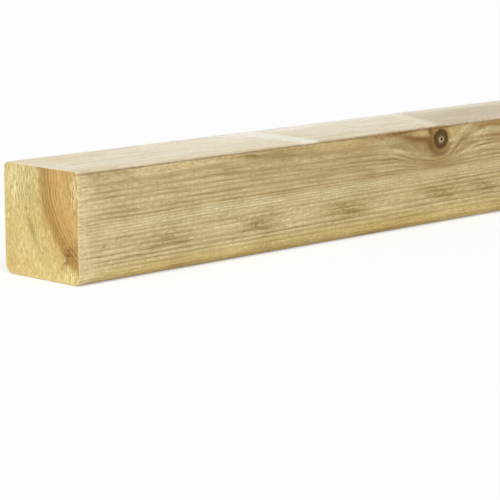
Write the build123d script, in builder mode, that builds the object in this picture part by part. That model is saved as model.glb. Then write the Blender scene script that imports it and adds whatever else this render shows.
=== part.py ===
from build123d import *
import os

# A square-section treated softwood post, planed on its four long faces and cut square at both ends.
# Millimetres. +X runs along the length, -Y is the front face, +Z is up.
# The origin is under the middle of the post, on the surface that it lies on.

# Stock size
post_length = 1800.0
section_width = 100.0
section_height = 100.0

# Radius of each long arris, as the planer left it
top_front_radius = 5.0
top_back_radius = 5.5
bottom_front_radius = 7.0
bottom_back_radius = 9.5

# Width of the worn edge round each sawn end
end_edge_break = 0.8

with BuildPart() as post:
    # Planed section, drawn across the length: local X runs from front to back, local Y is up
    with BuildSketch(Plane.YZ) as section:
        Rectangle(section_width, section_height, align=(Align.CENTER, Align.MIN))
        fillet(section.vertices().group_by(Axis.Y)[0].sort_by(Axis.X)[0], bottom_front_radius)
        fillet(section.vertices().group_by(Axis.Y)[0].sort_by(Axis.X)[-1], bottom_back_radius)
        fillet(section.vertices().group_by(Axis.Y)[-1].sort_by(Axis.X)[0], top_front_radius)
        fillet(section.vertices().group_by(Axis.Y)[-1].sort_by(Axis.X)[-1], top_back_radius)
    extrude(amount=post_length / 2, both=True)

    # The saw leaves both ends square, and handling takes the sharpness off their edges
    sawn_ends = post.faces().filter_by(Axis.X)
    chamfer(sawn_ends.edges(), end_edge_break)

post.part.label = "post"

os.makedirs("parts", exist_ok=True)
export_step(post.part, "parts/post.step")
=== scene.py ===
import itertools
from collections import namedtuple

import bpy
import numpy as np
from mathutils import Matrix, Vector


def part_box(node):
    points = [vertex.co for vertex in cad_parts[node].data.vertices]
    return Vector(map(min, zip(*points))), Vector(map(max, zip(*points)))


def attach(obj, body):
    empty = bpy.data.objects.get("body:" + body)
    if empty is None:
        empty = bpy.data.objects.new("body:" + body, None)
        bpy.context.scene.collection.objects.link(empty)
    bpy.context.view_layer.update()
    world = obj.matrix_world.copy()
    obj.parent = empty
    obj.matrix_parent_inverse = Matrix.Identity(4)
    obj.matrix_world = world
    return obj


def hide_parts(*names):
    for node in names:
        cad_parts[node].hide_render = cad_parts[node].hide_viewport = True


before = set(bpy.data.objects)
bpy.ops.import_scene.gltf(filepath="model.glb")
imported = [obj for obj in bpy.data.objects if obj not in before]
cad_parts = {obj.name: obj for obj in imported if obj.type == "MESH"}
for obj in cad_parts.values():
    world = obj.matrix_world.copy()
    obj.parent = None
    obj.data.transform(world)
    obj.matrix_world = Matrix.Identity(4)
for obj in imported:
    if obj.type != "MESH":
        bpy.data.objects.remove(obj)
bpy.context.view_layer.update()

# The wood is worked out in millimetres, in the post's own directions: along its length from the near end,
# deep from the front face to the back, and high from the bed face to the top.
MM = 0.001

low_corner, high_corner = (np.array(corner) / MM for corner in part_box("post"))
LENGTH, DEPTH, HEIGHT = high_corner - low_corner

# A smooth change of a level: where it starts and ends, and the levels before and after it
Step = namedtuple("Step", "start end before after", defaults=(0.0, 1.0))

# Long edges of the planed section, and the worn edge round each sawn end
TOP_FRONT_RADIUS = 5.0
TOP_BACK_RADIUS = 5.5
BOTTOM_FRONT_RADIUS = 7.0
BOTTOM_BACK_RADIUS = 9.5
END_BREAK = 0.8
END_BREAK_STEP = 0.25

# The mesh has a square grid on each end, and the edge of that grid runs on along the post. The cells are
# shorter in the stretch that the photograph shows, at the knots and near the ends.
CELLS_ACROSS = 76
CELLS_ALONG = 286
SEEN_CELL_GAIN = Step(600.0, 700.0, 1.2, 0.0)
KNOT_CELL_REACH, KNOT_CELL_GAIN = 32.0, 4.0
END_CELL_REACH, END_CELL_GAIN = 25.0, 3.0
DENSITY_SAMPLES = 4001
SIDES, NEAR_END, FAR_END = range(3)

# The tree: its pith runs in front of the post, level with its top, and rises a little along it
PITH_DEEP = -54.0
PITH_HIGH = 101.0
PITH_RISE_SHARE = 0.002
# The years' dark lines on the front face, at the near end: the height where each ends, and how dark it is
LINES = (
    (84.6, 0.55), (78.0, 0.64), (72.6, 0.66), (69.0, 0.66), (63.4, 0.7), (59.0, 0.78), (54.8, 0.8),
    (51.6, 0.55), (49.3, 0.45), (46.3, 0.45), (43.2, 0.5), (40.6, 0.45), (36.2, 0.62), (31.4, 0.52),
    (27.5, 0.4), (22.2, 0.8), (17.8, 0.8), (14.2, 0.66), (10.0, 0.52), (6.7, 0.2), (3.8, 0.4),
)
# Rings that the front doesn't show: inner ones by their distance from the pith, and outer ones by chance
INNER_RINGS = (44.0, 47.0, 50.0, 53.2)
OUTER_RING_COUNT = 40
OUTER_RING_WIDTH = 2.3
RING_SPREAD_SHARE = 0.15
UNSEEN_DARKNESS = 0.45, 0.85
RING_SEED = 11
# The rings wobble a little, along the post and round the pith
WOBBLE_SEED, WOBBLE_REACH, WOBBLE_LONG, WOBBLES_PER_RADIAN = 4, 0.4, 75.0, 9.0
# Where the heartwood ends and the sapwood starts
HEART_RADIUS = 106.5
# How the grain flows round a knot, as shares of the knot's radius: the size of what it parts round, how
# much longer than high that is before and after the knot, and where the flow grows straight again
PARTED_SHARE = 1.38
PARTED_LONG_BEFORE, PARTED_LONG_AFTER = 2.4, 1.15
PARTED_FADE = Step(2.0, 2.95, 1.0, 0.0)
# A knot has its stated radius at one distance from the pith, and is wider further out
KNOT_SIZED_AT = 58.0
KNOT_FLATNESS = 0.88
KNOT_FADE = 8.0
KNOT_SHOWS = Step(3.0, 4.0, 1.0, 0.0)
FAR_AWAY = 50.0

# A stretch where the pith stands further from the post, or nearer if the shift is negative
Bend = namedtuple("Bend", "along reach shift")
BENDS = (
    Bend(790.0, 90.0, 1.7),
    Bend(1190.0, 120.0, -1.4),
    Bend(1640.0, 80.0, 1.9),
)

# A stretch beside a knot where the grain of the front rises, or sags if the rise is negative. It reaches
# before and after its middle, starts at the low height and is full at the high one.
Lift = namedtuple("Lift", "along before after low high rise")
LIFTS = (
    Lift(450.0, 55.0, 40.0, 50.0, 64.0, -3.5),
    Lift(556.0, 32.0, 75.0, 56.0, 98.0, 8.5),
    Lift(1082.0, 32.0, 60.0, 30.0, 80.0, 12.0),
)
LIFTED_DEPTH = Step(0.0, 60.0, 1.0, 0.0)
# The lines at one height of the front rise along the post more than those above and below them
SWEEP_HIGH, SWEEP_TALL, SWEEP_RISE_SHARE, SWEEP_TO = 38.0, 12.0, 0.0105, 450.0

# A branch that leaves the pith at one place along it, points below level into the post and dies off inside
Knot = namedtuple("Knot", "along drop_deg radius dies_at")
KNOTS = (
    Knot(478.4, 17.8, 11.4, 115.0),
    Knot(1012.0, 36.0, 8.5, 96.0),
    Knot(1476.0, 24.0, 9.0, 260.0),
)


def ease(value, start, end, before=0.0, after=1.0):
    """One level before the start, another after the end and a smooth step between them."""
    step = np.clip((value - start) / (end - start), 0, 1)
    return before + (after - before) * step * step * (3 - 2 * step)


def hump(value, centre, reach):
    """1 at the centre, falling away like a bell."""
    return np.exp(-0.5 * ((value - centre) / reach) ** 2)


LATTICE_SIZE = 64


def lattice_noise(seed, *places):
    """Smooth noise from -1 to 1 at places that are given in lattice cells."""
    table = np.random.default_rng(seed).uniform(-1, 1, (LATTICE_SIZE,) * len(places))
    places = np.broadcast_arrays(*places)
    cells = [np.floor(place).astype(int) for place in places]
    crossed = [ease(place - cell, 0, 1) for place, cell in zip(places, cells)]
    total = np.zeros(places[0].shape)
    for corner in itertools.product((0, 1), repeat=len(places)):
        share = np.ones(places[0].shape)
        for side, part in zip(corner, crossed):
            share = share * (part if side else 1 - part)
        total += share * table[tuple((cell + side) % LATTICE_SIZE for cell, side in zip(cells, corner))]
    return total


# The tree at a set of points: the ring count, how dark that ring's line is, the run of the fibres and the
# nearest knot
Wood = namedtuple("Wood", "ring darkness fibre knot")


def growth_rings():
    """Distance from the pith of each ring's outer edge, and how dark each ring's line is."""
    heights, seen_darkness = np.array(LINES).T
    seen = np.hypot(PITH_DEEP, PITH_HIGH - heights)
    chance = np.random.default_rng(RING_SEED)
    draws = chance.uniform(-1, 1, OUTER_RING_COUNT)
    outer = seen[-1] + np.cumsum(OUTER_RING_WIDTH * (1 + RING_SPREAD_SHARE * draws))
    inner_darkness = chance.uniform(*UNSEEN_DARKNESS, len(INNER_RINGS))
    outer_darkness = chance.uniform(*UNSEEN_DARKNESS, OUTER_RING_COUNT)
    edges = np.concatenate([INNER_RINGS, seen, outer])
    return edges, np.concatenate([inner_darkness, seen_darkness, outer_darkness])


def height_before_lifts(along, deep, high):
    """How high the grain at each point would lie if no stretch of the front were raised."""
    at_front = ease(deep, *LIFTED_DEPTH)
    swept = SWEEP_RISE_SHARE * np.minimum(along, SWEEP_TO)
    level = high - at_front * swept * hump(high, SWEEP_HIGH, SWEEP_TALL)
    for lift in LIFTS:
        reach = np.where(along < lift.along, lift.before, lift.after)
        swell = hump(along, lift.along, reach) * ease(high, lift.low, lift.high)
        level = level - lift.rise * at_front * swell
    return level


def wood_at(along, deep, high):
    """The growth rings, the run of the fibres and the nearest knot at each point."""
    pith_deep = PITH_DEEP - sum(bend.shift * hump(along, bend.along, bend.reach) for bend in BENDS)
    pith_high = PITH_HIGH + PITH_RISE_SHARE * along
    out = np.hypot(deep - pith_deep, high - pith_high)
    knot = np.stack([np.full(along.shape, FAR_AWAY)] * 2 + [np.zeros(along.shape)], -1)
    nearest = np.full(along.shape, np.inf)
    level = height_before_lifts(along, deep, high)
    for branch in KNOTS:
        lives = 1 - ease(out, branch.dies_at - KNOT_FADE, branch.dies_at + KNOT_FADE)
        radius = branch.radius * np.sqrt(out / KNOT_SIZED_AT)
        axis_high = pith_high - (deep - pith_deep) * np.tan(np.radians(branch.drop_deg))
        ahead = (along - branch.along) / radius
        below = (axis_high - high) / (radius * KNOT_FLATNESS)
        spread = np.hypot(ahead / np.where(ahead < 0, PARTED_LONG_BEFORE, PARTED_LONG_AFTER), below)
        push = (PARTED_SHARE / np.maximum(spread, PARTED_SHARE)) ** 2
        push = push * ease(spread, *PARTED_FADE)
        level = level + lives * push * below * radius
        away = np.hypot(ahead, below)
        distance = away + FAR_AWAY * (1 - lives)
        closer = distance < nearest
        nearest = np.where(closer, distance, nearest)
        shows = lives * ease(away, *KNOT_SHOWS)
        knot = np.where(closer[..., None], np.stack([ahead, below, shows], -1), knot)
    turn = np.arctan2(pith_high - level, deep - pith_deep)
    growth = np.hypot(deep - pith_deep, level - pith_high)
    wobble = lattice_noise(WOBBLE_SEED, along / WOBBLE_LONG, turn * WOBBLES_PER_RADIAN)
    growth = growth + WOBBLE_REACH * wobble
    edges, darkness = growth_rings()
    ring = np.interp(growth, edges, np.arange(len(edges), dtype=float))
    own = np.ceil(ring).astype(int)
    return Wood(ring, darkness[own], np.stack([along, growth * turn, growth], -1), knot)


# A mark on an upright face, mostly a stain and in places painted shade: its middle across and up, its
# reach, its strength and its slope
Mark = namedtuple("Mark", "tint across high wide tall share slope", defaults=(0.0,))


def marks(tint, *rows):
    """The marks of one tint, from the rest of their values."""
    return [Mark(tint, *row) for row in rows]


TINTS = ("green", "olive", "brown", "light", "orange", "pale", "tan", "dull", "bold")
# Marks on the front face, measured from the near end
FRONT_MARKS = [
    # Olive blotches
    *marks("olive",
        (98, 32.5, 14, 3, 0.6), (113, 27, 12, 2.6, 0.9), (119, 24.4, 10, 1.2, 0.5),
        (120, 35.8, 12, 2, 0.4), (87, 24, 5, 1.2, 0.6), (51, 37.4, 9, 1.8, 0.6), (65, 60.8, 5, 1.4, 0.9),
        (110, 42, 9, 1.6, 0.5), (30, 31.8, 2, 1.3, 1.1), (134.5, 32.5, 1.6, 1.2, 1.2),
        (45, 60, 16, 2.6, 0.3), (72, 24, 20, 3, 0.2), (176, 64.5, 14, 1.6, 0.15), (175, 37, 14, 2, 0.35),
        (200, 25.6, 7, 1.6, 0.7), (223, 27.4, 14, 3.4, 1.05), (210, 33.5, 13, 3, 0.7),
        (241, 35.6, 11, 2.8, 0.75), (239, 22, 12, 1.6, 0.4), (237, 43, 7, 1.5, 0.6),
        (212, 8, 12, 3, 0.35), (276, 39.8, 11, 1.8, 0.55), (317, 26.6, 7, 1.5, 0.6),
        (332, 35, 13, 2.8, 0.95), (347, 28.6, 15, 3.6, 1.1), (352, 26.2, 10, 1, 0.4),
        (357, 43, 9, 1.6, 0.6), (366, 35, 7, 1.5, 0.45), (470, 35.2, 22, 2.8, 0.7),
        (483, 29.4, 18, 3.6, 1), (490, 26.8, 12, 1, 0.4), (490, 38.5, 12, 2.2, 0.55),
        (488, 44.5, 10, 2, 0.45), (498, 22, 12, 1.6, 0.5), (532, 35, 12, 3.2, 0.75),
        (553, 29.5, 13, 3.4, 1.05), (581, 37.5, 9, 2.4, 0.6), (582, 45.5, 10, 2, 0.4)),
    # Pale green ones over them
    *marks("green",
        (105, 48, 24, 5, 0.35), (154, 48, 9, 4, 0.4), (188, 49, 26, 4.5, 0.7), (232, 48.5, 13, 4, 0.55),
        (314, 48.5, 16, 4, 0.8), (325, 43, 12, 2.6, 0.6), (351, 48, 16, 5, 0.8), (400, 43.5, 20, 4, 0.6),
        (484, 47.5, 18, 3, 0.6), (566, 48, 20, 4, 0.7)),
    # Light patches between the blotches
    *marks("light",
        (22, 65, 12, 4, 0.45), (88, 63.5, 16, 5, 0.35), (50, 67.2, 9, 2, 0.25), (25, 8, 14, 6, 0.5),
        (62, 12.5, 12, 3, 0.25), (92, 90, 22, 3, 0.5), (150, 27, 14, 3, 0.5), (276, 85, 12, 2, 0.35),
        (310, 21.5, 12, 2.2, 0.45), (311, 50.5, 13, 3, 0.4), (314, 42, 12, 1.8, 0.3),
        (193, 88, 9, 2.4, 0.55), (258, 28, 14, 3, 0.35), (300, 48.5, 90, 5, 0.15),
        (389, 88, 12, 2.6, 0.45), (392, 30, 16, 3.5, 0.4), (387, 43, 8, 1.8, 0.3),
        (402, 78, 14, 2.6, 0.4), (428, 76.6, 18, 0.9, 0.5, -0.16), (456, 68.6, 12, 0.9, 0.5, -0.24),
        (455, 18, 16, 6, 0.3), (466, 42, 10, 2, 0.5), (480, 51, 60, 4, 0.42), (579, 28, 7, 2.6, 0.4)),
    # Brown tongues along the top, where the face runs along a ring
    *marks("brown",
        (12, 95.4, 10, 1.6, 0.7), (46, 94.8, 14, 1.8, 0.5), (65, 87.5, 7, 1.6, 0.5, -0.45),
        (122, 86, 18, 1.8, 0.2), (166, 85.5, 17, 3.8, 0.15), (184, 82, 9, 2.6, 0.35),
        (152, 96.8, 14, 1.2, 0.5), (188, 94, 9, 1.4, 0.6), (209, 93.4, 9, 1.6, 0.9, -0.06),
        (238, 92.2, 17, 3, 0.5, -0.06), (258, 95, 20, 1.6, 0.4), (266, 89, 20, 2.4, 0.3, -0.06),
        (335, 84.8, 36, 1.8, 0.34, -0.04), (450, 97, 130, 1.4, 0.6), (328, 97, 12, 1.4, 0.5),
        (357, 96.6, 16, 1.2, 0.6), (388, 94.2, 13, 1.8, 0.8)),
    *marks("orange", (123, 92.6, 18, 2.4, 0.4), (335, 92, 26, 2.6, 0.3)),
    # Brown lines and stains lower down. The marks up to 7.5 mm high are painted shade along the bottom edge
    # where the post rests, and the one at 114 mm is partly a stain too
    *marks("brown",
        (250, 55.6, 36, 1.5, 0.4), (378, 57.8, 26, 1.6, 0.45), (288, 65.7, 36, 1, 0.35),
        (320, 69.5, 12, 2.6, 0.3), (310, 73, 90, 13, 0.22), (243, 79, 13, 2.4, 0.3),
        (353, 70, 14, 5, 0.3), (114, 7.5, 18, 6, 0.45), (129, 52, 10, 3, 0.4), (372, 22, 14, 1.6, 0.35),
        (504, 5, 14, 3, 0.25), (518, 51, 12, 1.8, 0.35), (553, 50.2, 11, 2, 0.3), (240, 6, 10, 3, 0.3),
        (126, 20, 9, 1.4, 0.35), (364, 16.8, 10, 1.4, 0.3), (290, 1, 320, 2.6, 0.45)),
    # The dark tongue before the knot, with a pale lens over it
    *marks("brown",
        (416, 93.2, 13, 2.4, 0.7, -0.12), (434, 89.2, 11, 2.8, 0.75, -0.2),
        (448, 87.6, 8, 2.4, 0.65, -0.12), (428, 96.6, 14, 1.1, 0.8)),
    *marks("orange", (446, 93, 9, 1.8, 0.35, -0.02)),
    *marks("light", (445, 93, 9, 1.6, 0.4, -0.02)),
    # The brown wood that hugs the knot
    *marks("brown",
        (461.5, 93.6, 2, 1.8, 1.6), (461, 83, 4, 8, 0.6), (455, 87.6, 4, 1.8, 0.35), (469, 92, 2, 3, 0.4),
        (489.5, 91.5, 2.4, 3, 0.5), (498, 85, 12, 7, 0.2), (466, 75, 5, 4, 0.6, -0.5),
        (480, 96.6, 13, 1.1, 0.9), (458, 75, 40, 12, 0.3), (472, 66.5, 24, 4, 0.4),
        (477, 60.5, 26, 2.6, 0.45), (476, 57, 52, 1, 0.5)),
    # The streaks that rise past the knot
    *marks("orange", (495, 91.5, 5, 2.6, 0.4)),
    *marks("light",
        (510, 90, 9, 1.4, 0.9, 0.5), (497, 82.2, 6, 1.4, 0.6), (534, 84.6, 9, 1.4, 1, 0.1),
        (558, 87.4, 16, 1.8, 0.6), (545, 79.6, 18, 0.9, 0.8), (520, 71, 14, 1, 0.8, 0.26),
        (525, 66, 16, 3, 0.45)),
    *marks("olive", (514, 85, 6, 2.4, 0.45)),
    *marks("brown",
        (496, 79.4, 4, 1.4, 0.5), (509, 80.8, 4, 1, 0.4), (503, 75.6, 12, 1.1, 0.6, 0.26),
        (530, 88.6, 12, 1.3, 0.9, 0.24), (566, 92.6, 24, 2, 1.15), (562, 81.8, 28, 1.5, 1.1),
        (527, 80.4, 8, 1.1, 0.5, 0.2), (515, 72.4, 12, 1, 0.8, 0.26), (565, 77.4, 26, 1.3, 0.9, -0.03),
        (584, 96.8, 14, 1.4, 0.6), (584, 78, 10, 1.4, 0.3), (582, 71, 10, 1.6, 0.5),
        (582, 21, 10, 1.6, 0.4)),
    # Ring lines that are bolder or fainter than elsewhere
    *marks("bold",
        (38, 89, 26, 3.5, -0.55), (520, 92.5, 16, 5, -0.7), (330, 70, 70, 11, -0.25),
        (405, 71, 28, 8, 0.45), (452, 67, 15, 4, -0.5), (300, 32, 100, 6, -0.4), (330, 48, 260, 5, 0.4),
        (535, 74, 34, 10, 0.6), (300, 12, 400, 8, 0.3), (500, 44, 70, 8, 0.45)),
]
# Marks on the near end, measured from the front face
NEAR_END_MARKS = [
    *marks("brown", (11.5, 28.5, 8, 8, 0.36), (16.8, 21.2, 6, 5, 0.85, -1)),
    *marks("light",
        (88, 78, 4, 9, 0.9), (89, 90, 6, 6, 0.9), (70, 82, 20, 14, 0.3), (57, 91, 3.5, 7, 0.6),
        (6, 83, 4.5, 14, 0.8), (74, 24, 9, 5, 0.4), (40, 8, 26, 5, 0.4), (10, 7, 8, 4, 0.6)),
    *marks("bold",
        (70, 84, 16, 14, 1), (12, 78, 9, 16, 0.8), (40, 50, 16, 30, 0.4)),
    *marks("olive", (68, 66, 10, 12, 0.2)),
    *marks("orange",
        (91, 9, 7, 6, 0.8), (92, 40, 4, 12, 0.3), (18, 58, 8, 12, 0.3), (44, 51, 6, 7, 0.35, 1.96),
        (34, 35, 9, 6, 0.55, 1.33), (16, 47, 6, 8, 0.4), (74, 9, 10, 7, 0.3)),
]
# A dark line along one ring of each end: its distance from the pith and its stretch along the ring
DARK_RING_RADIUS, DARK_RING_REACH, DARK_RING_SHARE = 130.6, 1.9, 1.4
DARK_RING_MIDDLE, DARK_RING_LONG = 61.0, 13.0

# Patches at random places along the post and round it, and how strong they are by their noise
Scatter = namedtuple("Scatter", "seed long per_radian strength")
GREEN_PATCHES = Scatter(21, 52.0, 7.0, Step(0.1, 0.9, 0.0, 0.4))
GREEN_CLOUDS = Scatter(22, 130.0, 3.0, Step(-0.3, 0.8, 0.0, 0.15))
OLIVE_BLOTCHES = Scatter(23, 60.0, 4.0, Step(0.1, 0.8, 0.0, 0.7))
# Off the front, and past its stretch that is marked one by one, blotches come at random, mostly at one
# level
BY_CHANCE = Step(590.0, 620.0)
BLOTCH_LEVEL, BLOTCH_TALL, BLOTCH_LEAST_SHARE = 32.0, 6.0, 0.3
# How squarely a point faces the front or the top where it starts to look like it, and where it fully does
FACING = Step(0.3, 0.9)
# All but the top is lighter at the near end and tanner away from it; the tanning is partly a painted
# fall-off of the light along the post
LIGHT_END = Step(4.0, 22.0, 0.85, 0.0)
TAN_AND_FALLOFF_AWAY = Step(90.0, 430.0, 0.0, 0.22)
# The pale top, partly the wood's own paler, drier face and partly a painted sheen of white light that it
# reflects at a slant: tan at its front edge and near end, whiter along its back and in a stripe across it,
# and duller from the knot on
TOP_PALE_AND_SHEEN_SHARE, TOP_CLOUD_SHARE = 0.75, 0.1
TOP_TAN_FRONT = Step(2.0, 22.0, 0.3, 0.0)
TOP_TAN_NEAR = Step(20.0, 110.0, 0.12, 0.0)
TOP_BACK = Step(56.0, 90.0)
TOP_WHITE_BACK = Step(100.0, 320.0, 0.0, 0.45)
STRIPE_STARTS, STRIPE_ENDS, STRIPE_SHARE = Step(273.0, 280.0), Step(297.0, 304.0), 0.8
DULL_FROM, DULL_SLANT, DULL_SHARE = 467.0, 0.44, 0.85
DULL_STARTS, DULL_ENDS = Step(0.0, 18.0), Step(1000.0, 1200.0, 1.0, 0.0)
DULL_PAST_STRIPE_SHARE, DULL_BACK_LOSS = 0.17, 0.6


def add_marks(stains_and_shading, chosen, across, high, share):
    """Adds a face's marks, of stain and of painted shade, each at the given share of its strength."""
    for mark in chosen:
        middle = mark.high + mark.slope * (across - mark.across)
        strength = mark.share * share * hump(across, mark.across, mark.wide) * hump(high, middle, mark.tall)
        stains_and_shading[mark.tint] += strength


def add_top_pale_sheen_and_dull(stains_and_shading, along, deep, top, cloud):
    """Adds the pale look of the top, which is partly a painted sheen, and its dull look."""
    tanned = ease(deep, *TOP_TAN_FRONT) + ease(along, *TOP_TAN_NEAR)
    past_stripe = ease(along, *STRIPE_ENDS)
    stripe = ease(along, *STRIPE_STARTS) * (1 - past_stripe)
    past = along - DULL_FROM - DULL_SLANT * deep
    dull = ease(past, *DULL_STARTS) + DULL_PAST_STRIPE_SHARE * past_stripe * ease(-past, *DULL_STARTS)
    dull = dull * ease(along, *DULL_ENDS)
    back = ease(deep, *TOP_BACK)
    # The top is paler, partly its own face and partly a painted sheen
    pale = TOP_PALE_AND_SHEEN_SHARE - tanned + back * ease(along, *TOP_WHITE_BACK)
    pale = pale + STRIPE_SHARE * stripe + TOP_CLOUD_SHARE * cloud
    stains_and_shading["pale"] += top * pale
    stains_and_shading["dull"] += top * DULL_SHARE * dull * (1 - DULL_BACK_LOSS * back)


def scatter_noise(kind, along, around):
    """The noise of one kind of patch, from -1 to 1."""
    return lattice_noise(kind.seed, along / kind.long, around * kind.per_radian)


def side_stains_and_shading(along, deep, high, facing):
    """The strength of each tint on the planed faces, with the painted sheen of the top, the painted
    fall-off of light along the post and the painted shade along the bottom edge.
    """
    front = ease(-facing[..., 0], *FACING)
    top = ease(facing[..., 1], *FACING)
    around = np.arctan2(high - HEIGHT / 2, deep - DEPTH / 2)
    stains_and_shading = {tint: np.zeros(along.shape) for tint in TINTS}
    add_marks(stains_and_shading, FRONT_MARKS, along, high, front)
    by_chance = np.maximum(1 - front, ease(along, *BY_CHANCE))
    cloud = scatter_noise(GREEN_CLOUDS, along, around)
    patches = ease(scatter_noise(GREEN_PATCHES, along, around), *GREEN_PATCHES.strength)
    blotches = ease(scatter_noise(OLIVE_BLOTCHES, along, around), *OLIVE_BLOTCHES.strength)
    level = np.maximum(hump(high, BLOTCH_LEVEL, BLOTCH_TALL), BLOTCH_LEAST_SHARE)
    stains_and_shading["green"] += ease(cloud, *GREEN_CLOUDS.strength) + by_chance * patches
    stains_and_shading["olive"] += by_chance * blotches * level * (1 - top)
    # Tanner away from the near end, partly a painted fall-off of the light
    stains_and_shading["tan"] += (1 - top) * ease(along, *TAN_AND_FALLOFF_AWAY)
    stains_and_shading["light"] += (1 - top) * ease(along, *LIGHT_END)
    add_top_pale_sheen_and_dull(stains_and_shading, along, deep, top, cloud)
    return stains_and_shading


def end_stains(deep, high, wood, chosen):
    """The strength of each tint on a sawn end."""
    stains_and_shading = {tint: np.zeros(deep.shape) for tint in TINTS}
    add_marks(stains_and_shading, chosen, deep, high, 1.0)
    dark_ring = hump(wood.fibre[..., 2], DARK_RING_RADIUS, DARK_RING_REACH)
    stretch = hump(wood.fibre[..., 1], DARK_RING_MIDDLE, DARK_RING_LONG)
    stains_and_shading["olive"] += DARK_RING_SHARE * dark_ring * stretch
    return stains_and_shading


def section_outline():
    """Points round the section, (deep, high), and the outward direction at each.

    They start at the bottom front edge and go to the back and up. Each of the four sides runs from the
    middle of one rounded edge to the middle of the next."""
    radii = (BOTTOM_FRONT_RADIUS, BOTTOM_BACK_RADIUS, TOP_BACK_RADIUS, TOP_FRONT_RADIUS)
    corners = np.array([(0, 0), (DEPTH, 0), (DEPTH, HEIGHT), (0, HEIGHT)])
    inward = np.array([(1, 1), (-1, 1), (-1, -1), (1, -1)])
    points, facings = [], []
    for side in range(4):
        after = (side + 1) % 4
        r0, r1 = radii[side], radii[after]
        c0 = corners[side] + r0 * inward[side]
        c1 = corners[after] + r1 * inward[after]
        out_angle = np.pi * (side - 1) / 2
        straight = abs((c1 - c0)[side % 2])
        arc0, arc1 = r0 * np.pi / 4, r1 * np.pi / 4
        path = np.linspace(0, arc0 + straight + arc1, CELLS_ACROSS, endpoint=False)
        past_straight = np.clip(path - arc0 - straight, 0, None)
        angle = out_angle + np.where(path < arc0, (path - arc0) / r0, past_straight / r1)
        facing = np.stack([np.cos(angle), np.sin(angle)], -1)
        share = np.clip((path - arc0) / straight, 0, 1)[:, None]
        points.append((1 - share) * (c0 + r0 * facing) + share * (c1 + r1 * facing))
        facings.append(facing)
    return np.concatenate(points), np.concatenate(facings)


def stations():
    """Distances along the post, closer together at the knots, and how far the worn ends step in at each."""
    fine = np.linspace(END_BREAK, LENGTH - END_BREAK, DENSITY_SAMPLES)
    density = 1 + sum(KNOT_CELL_GAIN * hump(fine, branch.along, KNOT_CELL_REACH) for branch in KNOTS)
    density = density + ease(fine, *SEEN_CELL_GAIN)
    for end in (0, LENGTH):
        density = density + END_CELL_GAIN * hump(fine, end, END_CELL_REACH)
    count = np.concatenate([[0], np.cumsum((density[1:] + density[:-1]) / 2)])
    near_edge, far_edge = [0, END_BREAK_STEP], [LENGTH - END_BREAK_STEP, LENGTH]
    inner_count = CELLS_ALONG + 1 - len(near_edge) - len(far_edge)
    inner = np.interp(np.linspace(0, count[-1], inner_count), count, fine)
    along = np.concatenate([near_edge, inner, far_edge])
    steps = np.zeros(len(along))
    steps[[0, -1]] = END_BREAK
    steps[[1, -2]] = END_BREAK_STEP
    return along, steps


def ring_sides(ring):
    """The bottom, back, top and front of a ring: level ones from front to back, upright ones from below."""
    n = CELLS_ACROSS
    closed = np.concatenate([ring, ring[:1]])
    return closed[:n + 1], closed[n:2 * n + 1], closed[2 * n:3 * n + 1][::-1], closed[3 * n:][::-1]


def end_grid(ring):
    """Fills a ring of points with a square grid whose edge it is."""
    n = CELLS_ACROSS
    bottom, back, top, front = ring_sides(ring)
    u = np.linspace(0, 1, n + 1)[None, :, None]
    v = np.linspace(0, 1, n + 1)[:, None, None]
    blend = (1 - v) * bottom[None] + v * top[None] + (1 - u) * front[:, None] + u * back[:, None]
    corners = (1 - u) * (1 - v) * bottom[0] + u * (1 - v) * bottom[-1]
    corners = corners + (1 - u) * v * top[0] + u * v * top[-1]
    return blend - corners


# How deep the wood is sunk from the start of a ring, which is soft, to its dark line
SOFT_SUNK = Step(0.35, 0.9, 0.12, 0.0)
# The relief grows from nothing at the worn edges
RELIEF_GROWS = Step(END_BREAK, 3.0)
FIBRE_SEED, FIBRE_DEEP, FIBRE_LONG, FIBRE_WIDE = 31, 0.05, 45.0, 1.1
KNOT_CORE_SUNK, KNOT_CORE_REACH = 0.35, 0.35
KNOT_GAP_SUNK, KNOT_GAP_AT, KNOT_GAP_REACH = 0.25, 1.05, 0.12
# The sawn ends: torn fibres, finer pits and the marks of the saw
END_SUNK = 0.25
TORN_SEED, TORN_DEEP, TORN_WIDE, TORN_TALL = 41, 0.12, 1.4, 6.0
PIT_SEED, PIT_SHARE, PIT_WIDE, PIT_TALL = 42, 0.6, 1.5, 1.7
SAW_SEED, SAW_DEEP, SAW_PITCH, SAW_SLANT = 43, 0.06, 2.6, 0.03


def side_relief(along, wood):
    """How far each point of the planed faces lies under the plane, in millimetres."""
    _, sideways, growth = np.moveaxis(wood.fibre, -1, 0)
    fibres = lattice_noise(FIBRE_SEED, along / FIBRE_LONG, sideways / FIBRE_WIDE, growth / FIBRE_WIDE)
    ahead, below, shows = np.moveaxis(wood.knot, -1, 0)
    away = np.hypot(ahead, below)
    knots = KNOT_CORE_SUNK * hump(away, 0.0, KNOT_CORE_REACH)
    knots = knots + KNOT_GAP_SUNK * hump(away, KNOT_GAP_AT, KNOT_GAP_REACH)
    from_ends = ease(along, *RELIEF_GROWS) * ease(LENGTH - along, *RELIEF_GROWS)
    return from_ends * (ease(wood.ring % 1, *SOFT_SUNK) + FIBRE_DEEP * (1 + fibres) + knots * shows)


def end_relief(deep, high, wood):
    """How far each point of a sawn end lies under its plane, in millimetres."""
    torn = lattice_noise(TORN_SEED, deep / TORN_WIDE, high / TORN_TALL)
    torn = torn + PIT_SHARE * lattice_noise(PIT_SEED, deep / PIT_WIDE, high / PIT_TALL)
    saw = lattice_noise(SAW_SEED, high / SAW_PITCH + SAW_SLANT * deep)
    edge = np.minimum(np.minimum(deep, DEPTH - deep), np.minimum(high, HEIGHT - high))
    sunk = END_SUNK + TORN_DEEP * torn + SAW_DEEP * saw + ease(wood.ring % 1, *SOFT_SUNK)
    return ease(edge, *RELIEF_GROWS) * sunk


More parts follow.
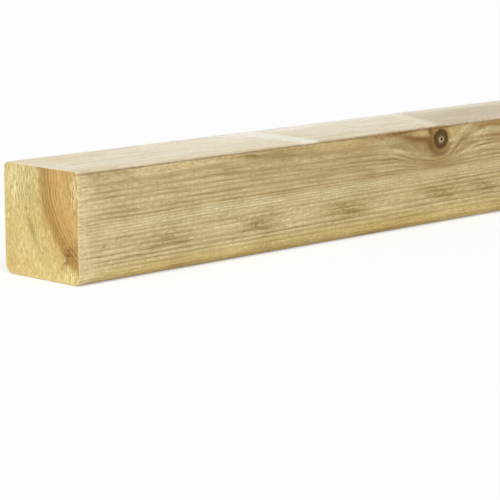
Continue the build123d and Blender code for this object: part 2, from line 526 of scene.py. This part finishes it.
# A stretch of the mesh: its points, what the shaders read at each of them, its faces and its part
Patch = namedtuple("Patch", "points values faces part")


def point_values(place, wood, stains_and_shading):
    """The numbers that the shaders read, by name."""
    return {"place": place, **wood._asdict(), **stains_and_shading}


def in_rows(grid):
    """The points of a grid, or their values, one after the other."""
    return grid.reshape(-1, *grid.shape[2:])


def planed_sides():
    """The four sides as a grid of points, the number of each point, and the patch that they make."""
    outline, facing = section_outline()
    along, steps = stations()
    facing = np.repeat(facing[None], len(along), 0)
    deep_high = outline[None] - steps[:, None, None] * facing
    flat = np.concatenate([np.repeat(along[:, None, None], len(outline), 1), deep_high], -1)
    wood = wood_at(*np.moveaxis(flat, -1, 0))
    stains_and_shading = side_stains_and_shading(*np.moveaxis(flat, -1, 0), facing)
    sunk = flat.copy()
    sunk[..., 1:] -= side_relief(flat[..., 0], wood)[..., None] * facing
    numbers = np.arange(len(along) * len(outline)).reshape(len(along), len(outline))
    following = np.roll(numbers, -1, 1)
    faces = np.stack([numbers[:-1], following[:-1], following[1:], numbers[1:]], -1)
    values = {name: in_rows(value) for name, value in point_values(flat, wood, stains_and_shading).items()}
    return sunk, numbers, Patch(in_rows(sunk), values, in_rows(faces), SIDES)


def sawn_end(part, ring, ring_numbers, first_number):
    """One end: a grid inside a ring of points that the sides have, with its own points' first number."""
    n = CELLS_ACROSS
    inner = np.s_[1:n, 1:n]
    near = part == NEAR_END
    grid = end_grid(ring)
    _, deep, high = np.moveaxis(grid, -1, 0)
    wood = wood_at(*np.moveaxis(grid, -1, 0))
    stains_and_shading = end_stains(deep, high, wood, NEAR_END_MARKS if near else ())
    values = {name: in_rows(value[inner]) for name, value in point_values(grid, wood, stains_and_shading).items()}
    sunk = grid.copy()
    sunk[..., 0] += (1 if near else -1) * end_relief(deep, high, wood)
    numbers = np.empty((n + 1, n + 1), int)
    numbers[0], numbers[:, n], numbers[n], numbers[:, 0] = ring_sides(ring_numbers)
    numbers[inner] = first_number + np.arange((n - 1) ** 2).reshape(n - 1, n - 1)
    faces = np.stack([numbers[:-1, :-1], numbers[:-1, 1:], numbers[1:, 1:], numbers[1:, :-1]], -1)
    faces = in_rows(faces)
    return Patch(in_rows(sunk[inner]), values, faces[:, ::-1] if near else faces, part)


def post_mesh():
    """The post as one closed mesh of four-sided faces, with the wood's own values on its points."""
    sides, numbers, side_patch = planed_sides()
    patches = [side_patch]
    for part, row in ((NEAR_END, 0), (FAR_END, -1)):
        first_number = sum(len(patch.points) for patch in patches)
        patches.append(sawn_end(part, sides[row], numbers[row], first_number))
    points = np.concatenate([patch.points for patch in patches])
    faces = np.concatenate([patch.faces for patch in patches])
    parts = np.concatenate([np.full(len(patch.faces), patch.part) for patch in patches])
    mesh = bpy.data.meshes.new("post_wood")
    mesh.from_pydata((points + low_corner) * MM, [], faces.tolist())
    mesh.polygons.foreach_set("material_index", (parts != SIDES).astype(np.int32))
    mesh.polygons.foreach_set("use_smooth", np.ones(len(faces), bool))
    for name in side_patch.values:
        joined = np.concatenate([patch.values[name] for patch in patches]).astype(np.float32)
        kind, field = ("FLOAT", "value") if joined.ndim == 1 else ("FLOAT_VECTOR", "vector")
        mesh.attributes.new(name, kind, "POINT").data.foreach_set(field, joined.ravel())
    write_map(mesh, points, faces, parts, numbers.shape[1])
    mesh.update()
    return mesh


MAP_MARGIN = 0.008
SIDES_FROM = 0.265
END_PATCH = 0.24


def write_map(mesh, points, faces, parts, around):
    """A flat map of the post: the four sides unrolled in one strip, and a square for each end."""
    corners = faces.ravel()
    part = np.repeat(parts, faces.shape[1])
    column = (corners % around).reshape(faces.shape)
    at_seam = (column.max(1) - column.min(1) > 1)[:, None] & (column == 0)
    column = np.where(at_seam, around, column).ravel()
    room = 1 - 2 * MAP_MARGIN
    along_u = MAP_MARGIN + room * points[corners, 0] / LENGTH
    around_v = SIDES_FROM + (1 - MAP_MARGIN - SIDES_FROM) * column / around
    scale = END_PATCH / max(DEPTH, HEIGHT)
    end_u = MAP_MARGIN + (part == FAR_END) * (END_PATCH + 2 * MAP_MARGIN) + scale * points[corners, 1]
    end_v = MAP_MARGIN + scale * points[corners, 2]
    on_sides = (part == SIDES)[:, None]
    uv = np.where(on_sides, np.stack([along_u, around_v], -1), np.stack([end_u, end_v], -1))
    mesh.uv_layers.new(name="OFBake").data.foreach_set("uv", uv.astype(np.float32).ravel())


def paint(red, green, blue):
    """A colour for a shader, from screen values of 0 to 255 on the standard curve of screens (sRGB)."""
    share = np.array([red, green, blue]) / 255
    linear = np.where(share <= 0.04045, share / 12.92, ((share + 0.055) / 1.055) ** 2.4)
    return (*linear.tolist(), 1.0)


# A noise: its turns per millimetre in each direction, its layers of detail and their strength
Grain = namedtuple("Grain", "turns detail roughness")
WOOD_SPECULAR = 0.2
# How fast red, green and blue fall where the wood is shaded
SHADE_POWERS = (0.95, 1.1, 1.6)
# The span that holds most of a noise
NOISE_LOW, NOISE_HIGH = 0.3, 0.7
# The places of the mix node's colours among its sockets
MIX_FIRST, MIX_SECOND, MIX_RESULT = 6, 7, 2


class Shader:
    """The nodes of a material or a world, added one call at a time."""

    def __init__(self, owner):
        self.owner = owner
        self.colour = None
        owner.use_nodes = True
        self.tree = owner.node_tree
        self.tree.nodes.clear()

    def node(self, kind, inputs, **settings):
        """A new node, with its settings made and its inputs given values or linked to other nodes."""
        made = self.tree.nodes.new("ShaderNode" + kind)
        for name, setting in settings.items():
            setattr(made, name, setting)
        for place, value in inputs.items():
            if isinstance(value, bpy.types.NodeSocket):
                self.tree.links.new(value, made.inputs[place])
            else:
                made.inputs[place].default_value = value
        return made

    def attribute(self, name, output="Fac"):
        return self.node("Attribute", {}, attribute_name=name).outputs[output]

    def math(self, operation, *values):
        return self.node("Math", dict(enumerate(values)), operation=operation).outputs[0]

    def plus(self, first, *others):
        for other in others:
            first = self.math("ADD", first, other)
        return first

    def times(self, first, *others):
        for other in others:
            first = self.math("MULTIPLY", first, other)
        return first

    def length(self, across, up):
        return self.math("SQRT", self.plus(self.times(across, across), self.times(up, up)))

    def split(self, vector):
        return self.node("SeparateXYZ", {0: vector}).outputs

    def noise(self, vector, grain):
        scaled = self.node("VectorMath", {0: vector, 1: grain.turns}, operation="MULTIPLY").outputs[0]
        inputs = {"Vector": scaled, "Scale": 1.0, "Detail": grain.detail, "Roughness": grain.roughness}
        return self.node("TexNoise", inputs).outputs["Fac"]

    def step(self, value, step, interpolation="SMOOTHSTEP"):
        inputs = {"Value": value, **dict(zip(("From Min", "From Max", "To Min", "To Max"), step))}
        return self.node("MapRange", inputs, interpolation_type=interpolation).outputs["Result"]

    def line(self, value, step):
        """Like a step, but straight between its start and its end."""
        return self.step(value, step, "LINEAR")

    def spread(self, noise, low, high):
        """A noise stretched to go from one level to another."""
        return self.line(noise, Step(NOISE_LOW, NOISE_HIGH, low, high))

    def swing(self, noise, reach):
        """A noise turned into one that goes as far as the reach to either side of 0."""
        return self.spread(noise, -reach, reach)

    def near(self, value, centre, reach):
        """1 at the centre, falling to 0 at the reach."""
        away = self.math("ABSOLUTE", self.math("SUBTRACT", value, centre))
        return self.step(away, Step(0.0, reach, 1.0, 0.0))

    def ramp(self, value, stops):
        """The colours or levels of the stops, each at its value, and blended between them."""
        first, last = stops[0][0], stops[-1][0]
        made = self.node("ValToRGB", {0: self.line(value, Step(first, last))})
        elements = made.color_ramp.elements
        while len(elements) < len(stops):
            elements.new(1.0)
        for element, (place, colour) in zip(elements, stops):
            element.position = (place - first) / (last - first)
            element.color = colour if isinstance(colour, tuple) else (colour, colour, colour, 1.0)
        return made.outputs["Color"]

    def mix(self, share, first, second, blend="MIX"):
        inputs = {0: share, MIX_FIRST: first, MIX_SECOND: second}
        made = self.node("Mix", inputs, data_type="RGBA", blend_type=blend, clamp_factor=True)
        return made.outputs[MIX_RESULT]

    def lay(self, share, colour):
        """Lays a share of a colour over the colour so far."""
        self.colour = self.mix(share, self.colour, colour)

    def shaded(self, colour, shade):
        """The colour made lighter or darker, and yellower where it is darker."""
        channels = {i: self.math("POWER", shade, power) for i, power in enumerate(SHADE_POWERS)}
        return self.mix(1.0, colour, self.node("CombineColor", channels).outputs[0], "MULTIPLY")

    def seen_directly(self):
        """1 for what the camera sees, plainly, mirrored or through glass, and else 0."""
        path = self.node("LightPath", {}).outputs
        seen = self.math("MAXIMUM", path["Is Camera Ray"], path["Is Glossy Ray"])
        return self.math("MAXIMUM", seen, path["Is Transmission Ray"])

    def finish(self, surface, kind="OutputMaterial"):
        self.node(kind, {"Surface": surface.outputs[0]})
        return self.owner

    def finish_wood(self, roughness, height, bump_mm):
        bump = self.node("Bump", {"Strength": 1.0, "Distance": bump_mm * MM, "Height": height})
        inputs = {"Base Color": self.colour, "Roughness": roughness, "Normal": bump.outputs["Normal"]}
        inputs["Specular IOR Level"] = WOOD_SPECULAR
        return self.finish(self.node("BsdfPrincipled", inputs))


# How dark a ring is from its start to its end: it darkens slowly outwards and ends sharply
RING_PROFILE = ((0.0, 0.4), (0.16, 0.02), (0.4, 0.1), (0.66, 0.72), (0.87, 1.0), (1.0, 0.55))
RING_RAGGED = 0.14


def ring_lines(s, ragged):
    """How much latewood shows, from 0 to 1."""
    phase = s.math("FRACT", s.plus(s.attribute("ring"), s.swing(ragged, RING_RAGGED)))
    return s.times(s.ramp(phase, RING_PROFILE), s.attribute("darkness"))


# Colours of the planed faces
EARLYWOOD = paint(222, 203, 152)
LATEWOOD = paint(139, 112, 55)
HEART_TINT = paint(188, 154, 98)
SAP_TINT = paint(209, 178, 93)
GREEN_TINT = paint(216, 208, 168)
OLIVE_TINT = paint(135, 112, 32)
BROWN_TINT = paint(141, 106, 48)
LIGHT_TINT = paint(228, 209, 160)
# The pale top's colour, partly a painted sheen
PALE_AND_SHEEN_TINT = paint(235, 229, 215)
# Tanner away from the near end, partly a painted fall-off of the light
TAN_TINT = paint(178, 148, 70)
DULL_TINT = paint(190, 173, 145)
ORANGE_TINT = paint(214, 170, 104)
ARRIS_TINT = paint(134, 106, 62)
# A knot from its core outwards. Its places and reaches are shares of its radius.
KNOT_COLOURS = (
    (0.0, paint(178, 159, 118)),
    (0.24, paint(175, 156, 115)),
    (0.42, paint(110, 86, 42)),
    (0.62, paint(88, 63, 18)),
    (0.86, paint(88, 61, 16)),
    (1.12, paint(116, 84, 34)),
)
KNOT_PITH = paint(70, 53, 24)
KNOT_CRESCENT = paint(116, 88, 46)
# Its own pith lies a little past its core, and its rim a little above it
KNOT_PITH_AHEAD = 0.07
KNOT_RIM_RISE = 0.075
KNOT_ROUGH = Grain((1.4, 1.4, 0.0), 3.0, 0.55)
KNOT_FLECK = Grain((4.5, 4.5, 0.0), 2.0, 0.55)
KNOT_UNEVEN, KNOT_FLECK_SWING = 0.09, 0.2
KNOT_PITH_EDGE = Step(0.09, 0.24, 1.0, 0.0)
KNOT_EDGE = Step(0.88, 1.16, 1.0, 0.0)
# The brown wood round it is browner below it and on its near side, and has dark arcs there
HALO_EDGE = Step(1.05, 1.8, 0.85, 0.0)
HALO_SIDE = Step(-1.0, 1.2, 0.45, 1.0)
CRESCENT_AT, CRESCENT_REACH, CRESCENT_SHARE = 1.44, 0.46, 0.75
CRESCENT_SIDE = Step(-0.2, 1.6)
ARC_PITCH = 0.27
ARC_LEVELS = Step(-1.0, 1.0, 0.5, 1.0)


def lay_knots(s, knot):
    """Lays the knots over the wood: a dark rim, a pale core with a dark pith, and brown wood round them."""
    ahead, below, lives = s.split(knot)
    uneven = s.swing(s.noise(knot, KNOT_ROUGH), KNOT_UNEVEN)
    flecks = s.noise(knot, KNOT_FLECK)
    away = s.plus(s.length(ahead, s.plus(below, KNOT_RIM_RISE)), uneven)
    from_core = s.plus(s.length(ahead, below), uneven)
    from_pith = s.length(s.plus(ahead, -KNOT_PITH_AHEAD), below)
    low_near = s.math("SUBTRACT", below, ahead)
    halo = s.times(s.step(away, HALO_EDGE), s.step(low_near, HALO_SIDE))
    arcs = s.line(s.math("SINE", s.times(away, 2 * np.pi / ARC_PITCH)), ARC_LEVELS)
    crescent = s.times(s.near(away, CRESCENT_AT, CRESCENT_REACH), s.step(low_near, CRESCENT_SIDE), arcs)
    s.lay(s.times(halo, lives), BROWN_TINT)
    s.lay(s.times(crescent, lives, CRESCENT_SHARE), KNOT_CRESCENT)
    inside = s.ramp(from_core, KNOT_COLOURS)
    inside = s.mix(s.step(from_pith, KNOT_PITH_EDGE), inside, KNOT_PITH)
    inside = s.shaded(inside, s.plus(1.0, s.swing(flecks, KNOT_FLECK_SWING)))
    s.lay(s.times(s.step(away, KNOT_EDGE), lives), inside)


# The grain of the planed faces, from the longest streaks to the finest fibres, and their broad clouds
LONG_STREAK = Grain((0.012, 0.7, 0.7), 4.0, 0.6)
SHORT_DASH = Grain((0.05, 0.55, 0.55), 3.0, 0.6)
BEAD = Grain((0.18, 0.5, 0.5), 2.0, 0.6)
FINE_FIBRE = Grain((0.06, 2.6, 2.6), 3.0, 0.6)
BROAD_CLOUD = Grain((0.006, 0.05, 0.05), 2.0, 0.55)
BROAD_PATCH = Grain((0.017, 0.055, 0.055), 3.0, 0.6)
# How strong the dark lines are where each grain is low, and where it is high
LINES_BY_STREAK, LINES_BY_DASH = (1.2, 0.7), (0.5, 1.3)
LINES_BY_BEAD, LINES_BY_PATCH = (0.35, 1.55), (1.15, 0.85)
LINE_SHARE = 0.8
# How far each grain lightens and darkens the wood, which is calmer on the pale top under its painted sheen
STREAK_SWING, DASH_SWING, BEAD_SWING, FINE_SWING = 0.125, 0.09, 0.19, 0.06
PATCH_SWING, CLOUD_SWING = 0.12, 0.03
CALM_TOP = Step(0.0, 0.6, 1.0, 0.55)
# The wood that the heart and the sap colour, by the distance from the pith
HEART_WOOD = Step(HEART_RADIUS - 40.0, HEART_RADIUS + 3.0, 0.22, 0.0)
SAP_WOOD = Step(HEART_RADIUS - 10.0, HEART_RADIUS + 4.0, 0.0, 0.5)
# Where the stains take: some only in part of the beads, and more or less on the dark lines
GREEN_BY_BEAD, GREEN_BY_LINE = Step(0.36, 0.62, 0.3, 1.0), Step(0.08, 0.45, 1.0, 0.15)
OLIVE_SHARE, OLIVE_BY_BEAD, OLIVE_BY_LINE = 0.34, Step(0.56, 0.38, 0.0, 0.25), 0.5
BROWN_BY_LINE = Step(0.0, 0.8, 0.7, 1.0)
SOAKED_BROWN = Step(0.9, 1.8, 1.0, 0.62)
LIGHT_SHARE = 0.8
PALE_AND_SHEEN_BY_STREAK = 0.68, 1.0
# A dark line under the top front edge
ARRIS_HIGH, ARRIS_REACH = 97.2, 1.6
ARRIS_BY_STREAK = Step(0.3, 0.6, 0.45, 0.9)
# The marks of the planer's knives: a bump, and a painted shade of their ridges in the colour
KNIFE_PITCH, KNIFE_SHADE_SWING = 4.9, 0.012
PLANED_ROUGHNESS, LINE_SMOOTHNESS = Step(0.2, 0.8, 0.52, 0.68), -0.06
PLANED_BUMP_MM, LINE_BUMP, FINE_BUMP, KNIFE_BUMP = 0.25, 0.6, 0.5, 0.08


def planed_faces():
    s = Shader(bpy.data.materials.new("planed_treated_softwood"))
    fibre, knot, place = (s.attribute(name, "Vector") for name in ("fibre", "knot", "place"))
    tint = {name: s.attribute(name) for name in TINTS}
    along, deep, high = s.split(place)
    growth = s.split(fibre)[2]
    streak = s.noise(fibre, LONG_STREAK)
    dash = s.noise(fibre, SHORT_DASH)
    bead = s.noise(fibre, BEAD)
    fine = s.noise(fibre, FINE_FIBRE)
    cloud = s.noise(fibre, BROAD_CLOUD)
    patch = s.noise(place, BROAD_PATCH)
    late = s.times(ring_lines(s, dash), s.spread(dash, *LINES_BY_DASH), s.spread(bead, *LINES_BY_BEAD))
    late = s.times(late, s.spread(streak, *LINES_BY_STREAK), s.plus(1.0, tint["bold"]))
    late = s.times(late, s.spread(patch, *LINES_BY_PATCH))
    s.colour = EARLYWOOD
    s.lay(s.step(growth, HEART_WOOD), HEART_TINT)
    s.lay(s.step(growth, SAP_WOOD), SAP_TINT)
    # Tanner away from the near end, partly a painted fall-off of the light
    s.lay(tint["tan"], TAN_TINT)
    s.lay(s.times(late, LINE_SHARE), LATEWOOD)
    green = s.times(tint["green"], s.step(bead, GREEN_BY_BEAD), s.step(late, GREEN_BY_LINE))
    s.lay(green, GREEN_TINT)
    olive = s.plus(OLIVE_SHARE, s.step(bead, OLIVE_BY_BEAD), s.times(late, OLIVE_BY_LINE))
    s.lay(s.times(tint["olive"], olive), OLIVE_TINT)
    s.lay(s.times(tint["brown"], s.step(late, BROWN_BY_LINE)), BROWN_TINT)
    s.lay(tint["orange"], ORANGE_TINT)
    s.lay(s.times(tint["light"], LIGHT_SHARE), LIGHT_TINT)
    front = s.step(deep, Step(DEPTH / 2, 0.0))
    arris = s.times(s.near(high, ARRIS_HIGH, ARRIS_REACH), s.step(streak, ARRIS_BY_STREAK), front)
    s.lay(arris, ARRIS_TINT)
    # The pale top, partly a painted sheen
    s.lay(s.times(tint["pale"], s.spread(streak, *PALE_AND_SHEEN_BY_STREAK)), PALE_AND_SHEEN_TINT)
    s.lay(tint["dull"], DULL_TINT)
    knives = s.math("SINE", s.times(along, 2 * np.pi / KNIFE_PITCH))
    shade = s.plus(s.swing(dash, DASH_SWING), s.swing(bead, BEAD_SWING), s.swing(fine, FINE_SWING))
    shade = s.plus(shade, s.swing(patch, PATCH_SWING), s.swing(streak, STREAK_SWING))
    shade = s.times(shade, s.line(tint["pale"], CALM_TOP))
    # The knives' ridges also darken and lighten the colour as painted shade
    shade = s.plus(1.0, shade, s.swing(cloud, CLOUD_SWING), s.times(knives, KNIFE_SHADE_SWING))
    s.colour = s.shaded(s.colour, s.times(shade, s.step(tint["brown"], SOAKED_BROWN)))
    lay_knots(s, knot)
    roughness = s.plus(s.step(fine, PLANED_ROUGHNESS), s.times(late, LINE_SMOOTHNESS))
    height = s.plus(s.times(late, LINE_BUMP), s.times(fine, FINE_BUMP), s.times(knives, KNIFE_BUMP))
    return s.finish_wood(roughness, height, PLANED_BUMP_MM)


# Colours of the sawn ends, by the distance from the pith
END_COLOURS = (
    (50.0, paint(222, 184, 116)),
    (69.0, paint(212, 172, 103)),
    (80.0, paint(225, 184, 116)),
    (86.5, paint(207, 167, 99)),
    (89.5, paint(213, 172, 103)),
    (95.0, paint(208, 167, 97)),
    (101.0, paint(190, 151, 83)),
    (105.0, paint(187, 150, 83)),
    (107.5, paint(199, 166, 98)),
    (112.0, paint(222, 197, 126)),
    (130.0, paint(227, 205, 136)),
    (160.0, paint(226, 204, 136)),
)
END_LATEWOOD = paint(146, 112, 58)
END_SPECK = paint(246, 234, 184)
END_PIT = paint(160, 134, 72)
END_LIGHT = paint(243, 226, 166)
END_OLIVE = paint(158, 136, 74)
END_BROWN = paint(140, 98, 50)
TORN_FIBRE = Grain((0.0, 0.6, 0.12), 3.0, 0.6)
SPECKLE = Grain((0.0, 0.42, 0.2), 4.0, 0.7)
END_BLUR = Grain((0.0, 0.06, 0.045), 3.0, 0.55)
RING_STREAK = Grain((0.0, 0.16, 1.2), 3.0, 0.6)
CROSS_STROKE = Grain((0.0, 0.3, 0.08), 1.0, 0.5)
# How far the colours stray from their rings, and how many times further they do so at the foot of the end
BLUR_STRAY, STREAK_STRAY, STRAY_AT_FOOT = 1.0, 0.7, 3.2
# The dark lines are faint, but clearer in the years near the edge of the heart
END_LINE_SHARE, END_BOLD_SHARE, DARK_YEARS_SHARE = 0.36, 0.5, 0.4
DARK_YEARS_RADIUS, DARK_YEARS_REACH = 97.0, 17.0
END_LINES_BY_TORN = 1.2, 0.7
# The brown stain is broken up into strokes across the rings
BROWN_BY_TORN, BROWN_BY_STROKE = Step(0.56, 0.4, 0.1, 0.5), Step(0.56, 0.42, 0.0, 0.45)
END_BROWN_BY_LINE = 0.8
END_ORANGE_SHARE, END_OLIVE_SHARE = 0.6, 0.55
LIGHT_BY_TORN = Step(0.38, 0.6)
END_SAP_WOOD = Step(HEART_RADIUS, HEART_RADIUS + 4.0)
SPECKS, PITS = Step(0.54, 0.68, 0.0, 0.7), Step(0.47, 0.32, 0.0, 0.6)
END_TORN_SWING, END_STREAK_SWING, END_BLUR_SWING = 0.09, 0.12, 0.05
SAWN_ROUGHNESS = Step(0.2, 0.8, 0.7, 0.85)
SAWN_BUMP_MM, SPECKLE_BUMP, TORN_BUMP, STREAK_BUMP = 0.5, 0.8, 0.6, 0.4


def sawn_faces():
    s = Shader(bpy.data.materials.new("sawn_treated_softwood"))
    fibre, place = (s.attribute(name, "Vector") for name in ("fibre", "place"))
    bold = s.attribute("bold")
    growth = s.split(fibre)[2]
    torn = s.noise(place, TORN_FIBRE)
    speckle = s.noise(place, SPECKLE)
    blur = s.noise(place, END_BLUR)
    streak = s.noise(fibre, RING_STREAK)
    stroke = s.noise(fibre, CROSS_STROKE)
    stray = s.plus(s.swing(blur, BLUR_STRAY), s.swing(streak, STREAK_STRAY))
    stray = s.times(stray, s.line(s.split(place)[2], Step(HEIGHT, 0.0, 1.0, STRAY_AT_FOOT)))
    edge = s.plus(growth, stray)
    s.colour = s.ramp(edge, END_COLOURS)
    dark_years = s.near(growth, DARK_YEARS_RADIUS, DARK_YEARS_REACH)
    clear = s.plus(END_LINE_SHARE, s.times(bold, END_BOLD_SHARE), s.times(dark_years, DARK_YEARS_SHARE))
    late = s.times(ring_lines(s, speckle), s.spread(torn, *END_LINES_BY_TORN), clear)
    s.lay(late, END_LATEWOOD)
    broken = s.plus(s.step(torn, BROWN_BY_TORN), s.step(stroke, BROWN_BY_STROKE))
    broken = s.plus(broken, s.times(late, END_BROWN_BY_LINE))
    s.lay(s.times(s.attribute("brown"), broken), END_BROWN)
    s.lay(s.times(s.attribute("orange"), END_ORANGE_SHARE), ORANGE_TINT)
    s.lay(s.times(s.attribute("light"), s.step(torn, LIGHT_BY_TORN)), END_LIGHT)
    s.lay(s.times(s.attribute("olive"), END_OLIVE_SHARE), END_OLIVE)
    s.lay(s.times(s.step(speckle, SPECKS), s.step(edge, END_SAP_WOOD)), END_SPECK)
    s.lay(s.step(speckle, PITS), END_PIT)
    ragged = s.times(s.swing(torn, END_TORN_SWING), s.plus(1.0, bold))
    shade = s.plus(1.0, ragged, s.swing(streak, END_STREAK_SWING), s.swing(blur, END_BLUR_SWING))
    s.colour = s.shaded(s.colour, shade)
    roughness = s.step(speckle, SAWN_ROUGHNESS)
    height = s.plus(s.times(speckle, SPECKLE_BUMP), s.times(torn, TORN_BUMP), s.times(streak, STREAK_BUMP))
    return s.finish_wood(roughness, height, SAWN_BUMP_MM)


def add_object(name, data):
    """A new object in the scene."""
    made = bpy.data.objects.new(name, data)
    bpy.context.scene.collection.objects.link(made)
    return made


def make_post():
    piece = add_object("post_timber", post_mesh())
    piece.data.materials.append(planed_faces())
    piece.data.materials.append(sawn_faces())
    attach(piece, "root")
    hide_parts("post")


# The floor, in metres: it lies a hair under the post
FLOOR_SIZE = 30.0
FLOOR_DROP = 0.0002
FLOOR_WHITE = (0.96, 0.96, 0.96, 1.0)
# Share of plain white that the camera sees in the floor besides its lit colour
FLOOR_LIFT = 0.45
WORLD_WHITE = (1.0, 1.0, 1.0, 1.0)
WORLD_LIGHT, WORLD_SEEN = 0.44, 1.0
SUN_STRENGTH, SUN_ANGLE_DEG = 2.1, 50.0
SUN_FROM = (-0.45, -0.3, 0.84)


def make_floor():
    """A pale floor that reads as white to the camera and still takes the post's shadow."""
    half = FLOOR_SIZE / 2
    corners = [(-half, -half, 0), (half, -half, 0), (half, half, 0), (-half, half, 0)]
    mesh = bpy.data.meshes.new("floor")
    mesh.from_pydata(corners, [], [(0, 1, 2, 3)])
    floor = add_object("floor", mesh)
    floor.location.z = low_corner[2] * MM - FLOOR_DROP
    s = Shader(bpy.data.materials.new("pale_floor"))
    matt = s.node("BsdfDiffuse", {"Color": FLOOR_WHITE}).outputs[0]
    glow = s.node("Emission", {"Strength": 1.0}).outputs[0]
    lift = s.times(s.seen_directly(), FLOOR_LIFT)
    mesh.materials.append(s.finish(s.node("MixShader", {0: lift, 1: matt, 2: glow})))


def make_lights():
    """An even white room and one broad, soft lamp high on the side of the near end."""
    world = bpy.data.worlds.new("studio")
    bpy.context.scene.world = world
    s = Shader(world)
    strength = s.line(s.seen_directly(), Step(0.0, 1.0, WORLD_LIGHT, WORLD_SEEN))
    s.finish(s.node("Background", {"Color": WORLD_WHITE, "Strength": strength}), "OutputWorld")
    data = bpy.data.lights.new("softbox", "SUN")
    data.energy = SUN_STRENGTH
    data.angle = np.radians(SUN_ANGLE_DEG)
    lamp = add_object("softbox", data)
    lamp.rotation_euler = (-Vector(SUN_FROM)).to_track_quat("-Z", "Y").to_euler()


# The camera's place is in millimetres, in the post's own directions. It looks along the post and to its
# back, turned from straight back by the yaw and down by the pitch.
CAMERA_YAW, CAMERA_PITCH, CAMERA_ROLL = np.radians((45.1126, 9.9582, -0.1386))
CAMERA_ALONG, CAMERA_DEEP, CAMERA_HIGH = -1260.6, -1462.2, 370.2
CAMERA_FOCAL_PX, PHOTO_PX, SENSOR_MM = 2282.6, 500.0, 36.0
CAMERA_SEES_TO_M = 100.0


def make_camera():
    """The camera that was fitted to the post's edges in the photograph."""
    data = bpy.data.cameras.new("photo_camera")
    data.sensor_width = SENSOR_MM
    data.lens = CAMERA_FOCAL_PX * SENSOR_MM / PHOTO_PX
    data.clip_end = CAMERA_SEES_TO_M
    camera = add_object("photo_camera", data)
    yaw = Matrix.Rotation(-CAMERA_YAW, 4, "Z")
    pitch = Matrix.Rotation(np.pi / 2 - CAMERA_PITCH, 4, "X")
    roll = Matrix.Rotation(CAMERA_ROLL, 4, "Z")
    place = (np.array((CAMERA_ALONG, CAMERA_DEEP, CAMERA_HIGH)) + low_corner) * MM
    camera.matrix_world = Matrix.Translation(place) @ yaw @ pitch @ roll
    bpy.context.scene.camera = camera


bpy.context.scene.view_settings.view_transform = "Standard"
make_post()
make_floor()
make_lights()
make_camera()
